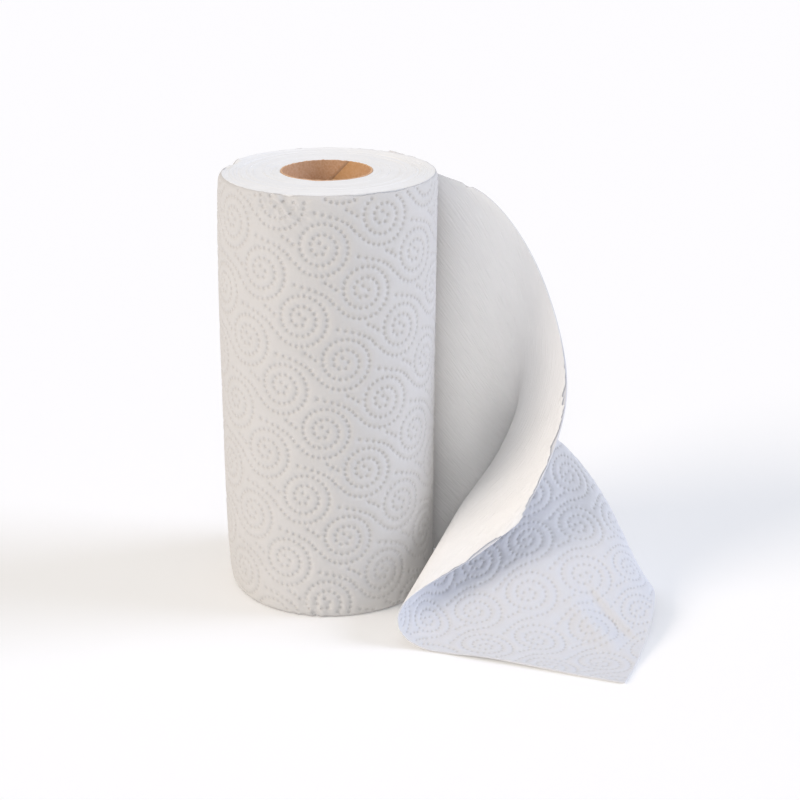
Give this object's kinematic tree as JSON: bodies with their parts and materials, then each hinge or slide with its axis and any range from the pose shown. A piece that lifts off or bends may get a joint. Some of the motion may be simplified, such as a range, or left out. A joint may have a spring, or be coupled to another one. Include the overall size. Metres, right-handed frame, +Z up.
{
  "type": "paper towel roll",
  "caption": "Roll of embossed paper towel wound on an open cardboard core, standing on end, its last sheet pulled loose and folded over beside it.",
  "frame": {"origin": "on the core's axis, in the plane of the roll's lower end", "axes": "+Z up along the core's axis, +X to the right and -Y to the front, where the loose sheet lies"},
  "size_m": [0.2263, 0.179, 0.225],
  "materials": {
    "towel_paper": "soft two-ply embossed tissue, matte",
    "core_board": "spiral-wound kraft board, matte"
  },
  "bodies": {
    "root": {"core": "core_board", "paper_roll": "towel_paper", "loose_sheet": "towel_paper"}
  },
  "joints": []
}
